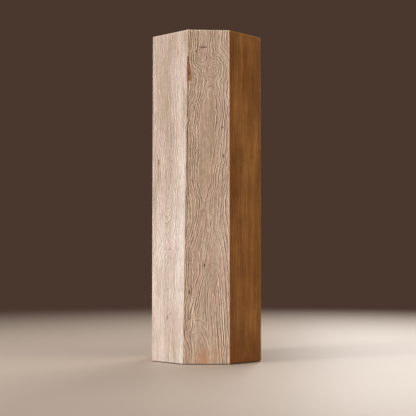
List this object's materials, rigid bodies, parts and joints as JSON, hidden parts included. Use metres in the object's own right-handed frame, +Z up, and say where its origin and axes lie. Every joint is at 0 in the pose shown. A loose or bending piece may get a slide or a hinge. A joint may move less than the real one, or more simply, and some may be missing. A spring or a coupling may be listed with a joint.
{
  "type": "display plinth",
  "caption": "Octagonal oak display plinth: mitred staves around plywood ribs, a flush top panel, and a ballasted base on levelling feet.",
  "frame": {"origin": "on the floor, under the middle of the column", "axes": "+Z up, -Y out of the front stave, +X to the right of someone facing the front"},
  "size_m": [0.3, 0.3, 0.9],
  "materials": {
    "oak_brushed": "plain-sawn oak, deeply wire-brushed, limed grain",
    "oak_pale": "smooth pale oak, matt",
    "oak_warm": "smooth warm brown oak, matt",
    "oak_top": "edge-glued oak boards, matt",
    "birch_ply": "birch plywood, unfinished",
    "beech": "planed beech, glued",
    "zinc_steel": "bright zinc plate",
    "black_steel": "black lacquered steel plate",
    "nylon": "moulded black nylon",
    "sole_rubber": "moulded rubber"
  },
  "bodies": {
    "column": {"stave_front": "oak_brushed", "stave_front_right": "oak_warm", "stave_right": "oak_warm", "stave_back_right": "oak_brushed", "stave_back": "oak_pale", "stave_back_left": "oak_brushed", "stave_left": "oak_pale", "stave_front_left": "oak_pale", "mitre_tongue_1": "beech", "mitre_tongue_2": "beech", "mitre_tongue_3": "beech", "mitre_tongue_4": "beech", "mitre_tongue_5": "beech", "mitre_tongue_6": "beech", "mitre_tongue_7": "beech", "mitre_tongue_8": "beech", "top_rib": "birch_ply", "middle_rib": "birch_ply", "bottom_rib": "birch_ply", "base_panel": "birch_ply", "top_panel": "oak_top", "top_panel_screws": "zinc_steel", "base_panel_screws": "zinc_steel", "ballast_bolts": "zinc_steel", "ballast_washers": "zinc_steel", "ballast_nuts": "zinc_steel", "foot_tee_nuts": "zinc_steel", "foot_lock_nuts": "zinc_steel", "ballast_disc": "black_steel"},
    "pad_front_left": {"foot_pad_front_left": "nylon", "foot_sole_front_left": "sole_rubber"},
    "stud_front_left": {"foot_stud_front_left": "zinc_steel"},
    "pad_front_right": {"foot_pad_front_right": "nylon", "foot_sole_front_right": "sole_rubber"},
    "stud_front_right": {"foot_stud_front_right": "zinc_steel"},
    "pad_back_right": {"foot_pad_back_right": "nylon", "foot_sole_back_right": "sole_rubber"},
    "stud_back_right": {"foot_stud_back_right": "zinc_steel"},
    "pad_back_left": {"foot_pad_back_left": "nylon", "foot_sole_back_left": "sole_rubber"},
    "stud_back_left": {"foot_stud_back_left": "zinc_steel"}
  },
  "joints": [
    {"name": "foot_extend_front_left", "type": "slide", "parent": "column", "child": "pad_front_left", "axis": [0, 0, -1], "range_m": [0, 0.01]},
    {"name": "stud_turn_front_left", "type": "hinge", "parent": "pad_front_left", "child": "stud_front_left", "pos_m": [-0.07354, -0.07354, 0.03], "axis": [0, 0, -1], "range_deg": [0, 2880]},
    {"name": "foot_extend_front_right", "type": "slide", "parent": "column", "child": "pad_front_right", "axis": [0, 0, -1], "range_m": [0, 0.01]},
    {"name": "stud_turn_front_right", "type": "hinge", "parent": "pad_front_right", "child": "stud_front_right", "pos_m": [0.07354, -0.07354, 0.03], "axis": [0, 0, -1], "range_deg": [0, 2880]},
    {"name": "foot_extend_back_right", "type": "slide", "parent": "column", "child": "pad_back_right", "axis": [0, 0, -1], "range_m": [0, 0.01]},
    {"name": "stud_turn_back_right", "type": "hinge", "parent": "pad_back_right", "child": "stud_back_right", "pos_m": [0.07354, 0.07354, 0.03], "axis": [0, 0, -1], "range_deg": [0, 2880]},
    {"name": "foot_extend_back_left", "type": "slide", "parent": "column", "child": "pad_back_left", "axis": [0, 0, -1], "range_m": [0, 0.01]},
    {"name": "stud_turn_back_left", "type": "hinge", "parent": "pad_back_left", "child": "stud_back_left", "pos_m": [-0.07354, 0.07354, 0.03], "axis": [0, 0, -1], "range_deg": [0, 2880]}
  ],
  "couplings": [
    {"joint": "stud_turn_front_left", "follows": "foot_extend_front_left", "rad_per_m": 5026.5},
    {"joint": "stud_turn_front_right", "follows": "foot_extend_front_right", "rad_per_m": 5026.5},
    {"joint": "stud_turn_back_right", "follows": "foot_extend_back_right", "rad_per_m": 5026.5},
    {"joint": "stud_turn_back_left", "follows": "foot_extend_back_left", "rad_per_m": 5026.5}
  ]
}
